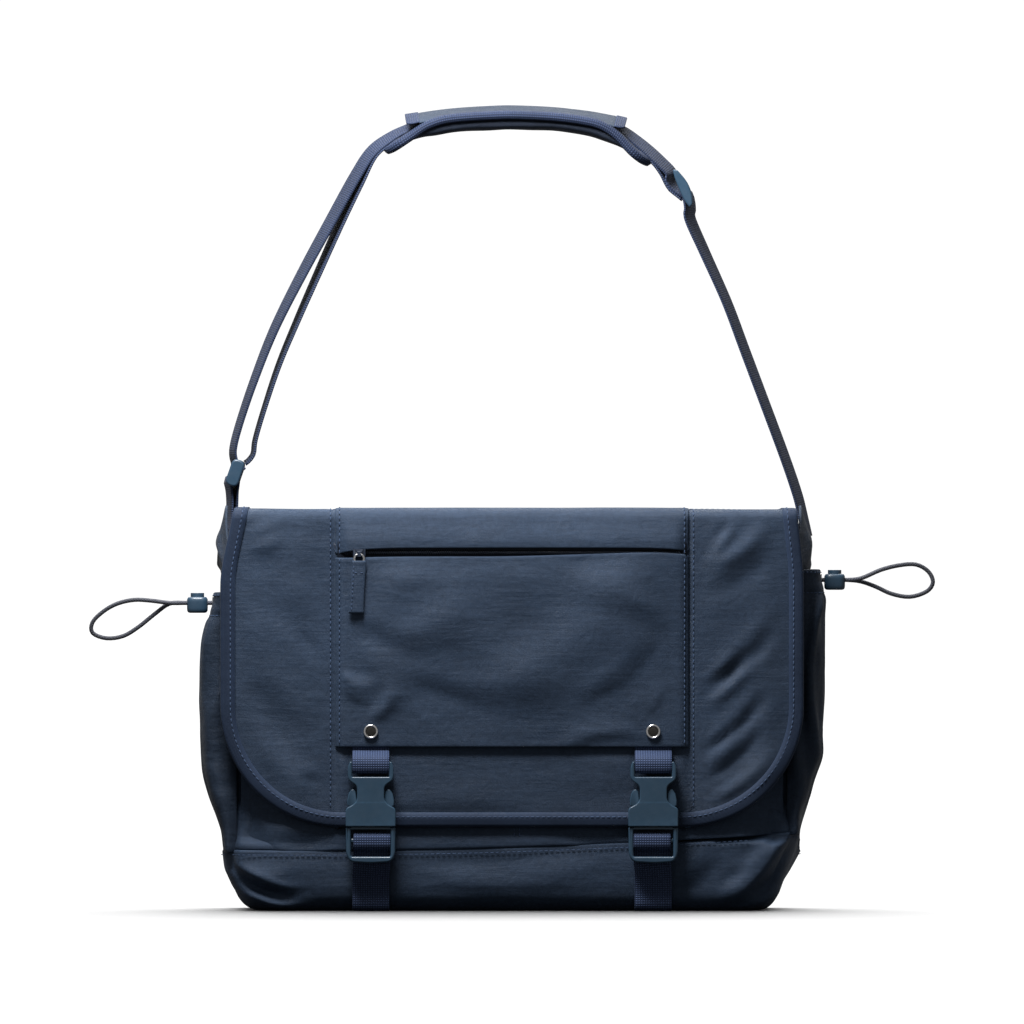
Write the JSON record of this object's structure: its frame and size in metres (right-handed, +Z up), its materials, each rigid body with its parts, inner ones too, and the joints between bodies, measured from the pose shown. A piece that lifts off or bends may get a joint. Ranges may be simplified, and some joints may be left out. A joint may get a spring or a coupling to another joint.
{
  "type": "messenger bag",
  "caption": "Soft flap-over messenger bag with buckled flap, zip pocket, drawcord side pockets and a padded adjustable shoulder strap.",
  "frame": {"origin": "centre of the bag's footprint on the floor, below the middle of its overall box", "axes": "+Z up, -Y the front with the flap, +X to the right seen from the front"},
  "size_m": [0.5508, 0.1416, 0.5177],
  "materials": {
    "shell": "plain-woven nylon, slight sheen",
    "lining": "plain-woven polyester lining",
    "webbing": "ribbed nylon webbing",
    "binding": "twill tape",
    "plastic": "satin moulded plastic",
    "steel": "bright nickel",
    "gunmetal": "dark polished metal",
    "cord": "braided elastic cord",
    "foam": "closed-cell foam",
    "board": "stiff polyethylene sheet"
  },
  "bodies": {
    "bag": {"base_panel": "shell", "front_panel": "shell", "back_panel": "shell", "gusset_left": "shell", "gusset_right": "shell", "base_board": "board", "back_foam": "foam", "lining": "lining", "inner_sleeve": "lining", "top_bindings": "binding", "front_pocket": "shell", "side_pocket_left": "shell", "side_pocket_right": "shell", "side_hem_left": "shell", "side_hem_right": "shell", "eyelets": "steel", "anchor_webbing": "webbing", "flap_back": "shell", "lower_webbing_left": "webbing", "lower_webbing_right": "webbing", "drawcord_left": "cord", "drawcord_right": "cord"},
    "flap_top": {"flap_top": "shell"},
    "flap_front": {"flap_side_left": "shell", "flap_side_right": "shell", "flap_hood": "shell", "flap_pocket_panel": "shell", "flap_band": "shell", "flap_lining": "lining", "flap_binding": "binding", "zip_tape": "webbing", "upper_webbing": "webbing", "buckle_socket_left": "plastic", "buckle_socket_right": "plastic", "snap_caps": "gunmetal", "snap_backs": "steel"},
    "zip": {"zip_slider": "steel"},
    "zip_pull": {"zip_pull_ring": "steel", "zip_pull_tab": "shell"},
    "insert_left": {"buckle_insert_left": "plastic"},
    "prong_left_a": {"prong_left_a": "plastic"},
    "prong_left_b": {"prong_left_b": "plastic"},
    "insert_right": {"buckle_insert_right": "plastic"},
    "prong_right_a": {"prong_right_a": "plastic"},
    "prong_right_b": {"prong_right_b": "plastic"},
    "strap": {"ring_tab": "webbing", "strap_ring": "plastic", "shoulder_webbing": "webbing", "doubled_webbing": "webbing", "triglide": "plastic", "pad_foam": "foam", "pad_lining": "lining", "pad_cover": "shell", "pad_binding": "webbing"},
    "lock_left": {"cord_lock_left": "plastic", "lock_spring_left": "steel"},
    "plunger_left": {"plunger_left": "plastic"},
    "lock_right": {"cord_lock_right": "plastic", "lock_spring_right": "steel"},
    "plunger_right": {"plunger_right": "plastic"}
  },
  "joints": [
    {"name": "flap_top_fold", "type": "hinge", "parent": "bag", "child": "flap_top", "pos_m": [0, 0.0152, 0.261], "axis": [-1, 0, 0], "range_deg": [0, 88], "deforming": ["buckle_insert_left", "prong_left_a", "prong_left_b", "lower_webbing_left", "buckle_insert_right", "prong_right_a", "prong_right_b", "lower_webbing_right"]},
    {"name": "flap_front_fold", "type": "hinge", "parent": "flap_top", "child": "flap_front", "pos_m": [0, -0.0557, 0.261], "axis": [-1, 0, 0], "range_deg": [0, 85]},
    {"name": "zip_slide", "type": "slide", "parent": "flap_front", "child": "zip", "axis": [1, 0, 0], "range_m": [0, 0.205]},
    {"name": "zip_pull_swing", "type": "hinge", "parent": "zip", "child": "zip_pull", "pos_m": [-0.099, -0.0641, 0.2314], "axis": [-1, 0, 0], "range_deg": [0, 160]},
    {"name": "strap_swing", "type": "hinge", "parent": "bag", "child": "strap", "pos_m": [0, 0.0408, 0.268], "axis": [-1, 0, 0], "range_deg": [-36, 85], "deforming": ["anchor_webbing"]},
    {"name": "buckle_release_left", "type": "slide", "parent": "bag", "child": "insert_left", "axis": [0, 0, -1], "range_m": [0, 0.026], "deforming": ["lower_webbing_left", "prong_left_a", "prong_left_b"]},
    {"name": "prong_press_left_a", "type": "hinge", "parent": "insert_left", "child": "prong_left_a", "pos_m": [-0.1011, -0.0666, 0.057], "axis": [0, 1, 0], "range_deg": [0, 12], "stiffness_Nm_per_rad": 0.05},
    {"name": "prong_press_left_b", "type": "hinge", "parent": "insert_left", "child": "prong_left_b", "pos_m": [-0.0819, -0.0666, 0.057], "axis": [0, -1, 0], "range_deg": [0, 12], "stiffness_Nm_per_rad": 0.05},
    {"name": "buckle_release_right", "type": "slide", "parent": "bag", "child": "insert_right", "axis": [0, 0, -1], "range_m": [0, 0.026], "deforming": ["lower_webbing_right", "prong_right_a", "prong_right_b"]},
    {"name": "prong_press_right_a", "type": "hinge", "parent": "insert_right", "child": "prong_right_a", "pos_m": [0.0819, -0.0666, 0.057], "axis": [0, 1, 0], "range_deg": [0, 12], "stiffness_Nm_per_rad": 0.05},
    {"name": "prong_press_right_b", "type": "hinge", "parent": "insert_right", "child": "prong_right_b", "pos_m": [0.1011, -0.0666, 0.057], "axis": [0, -1, 0], "range_deg": [0, 12], "stiffness_Nm_per_rad": 0.05},
    {"name": "cord_lock_slide_left", "type": "slide", "parent": "bag", "child": "lock_left", "axis": [-1, 0, 0], "range_m": [0, 0.008], "deforming": ["drawcord_left"]},
    {"name": "cord_lock_press_left", "type": "slide", "parent": "lock_left", "child": "plunger_left", "axis": [0, 0, -1], "range_m": [0, 0.0018], "stiffness_N_per_m": 400, "deforming": ["lock_spring_left"]},
    {"name": "cord_lock_slide_right", "type": "slide", "parent": "bag", "child": "lock_right", "axis": [1, 0, 0], "range_m": [0, 0.008], "deforming": ["drawcord_right"]},
    {"name": "cord_lock_press_right", "type": "slide", "parent": "lock_right", "child": "plunger_right", "axis": [0, 0, -1], "range_m": [0, 0.0018], "stiffness_N_per_m": 400, "deforming": ["lock_spring_right"]}
  ],
  "couplings": [
    {"joint": "prong_press_left_b", "follows": "prong_press_left_a", "ratio": 1},
    {"joint": "prong_press_right_b", "follows": "prong_press_right_a", "ratio": 1}
  ]
}
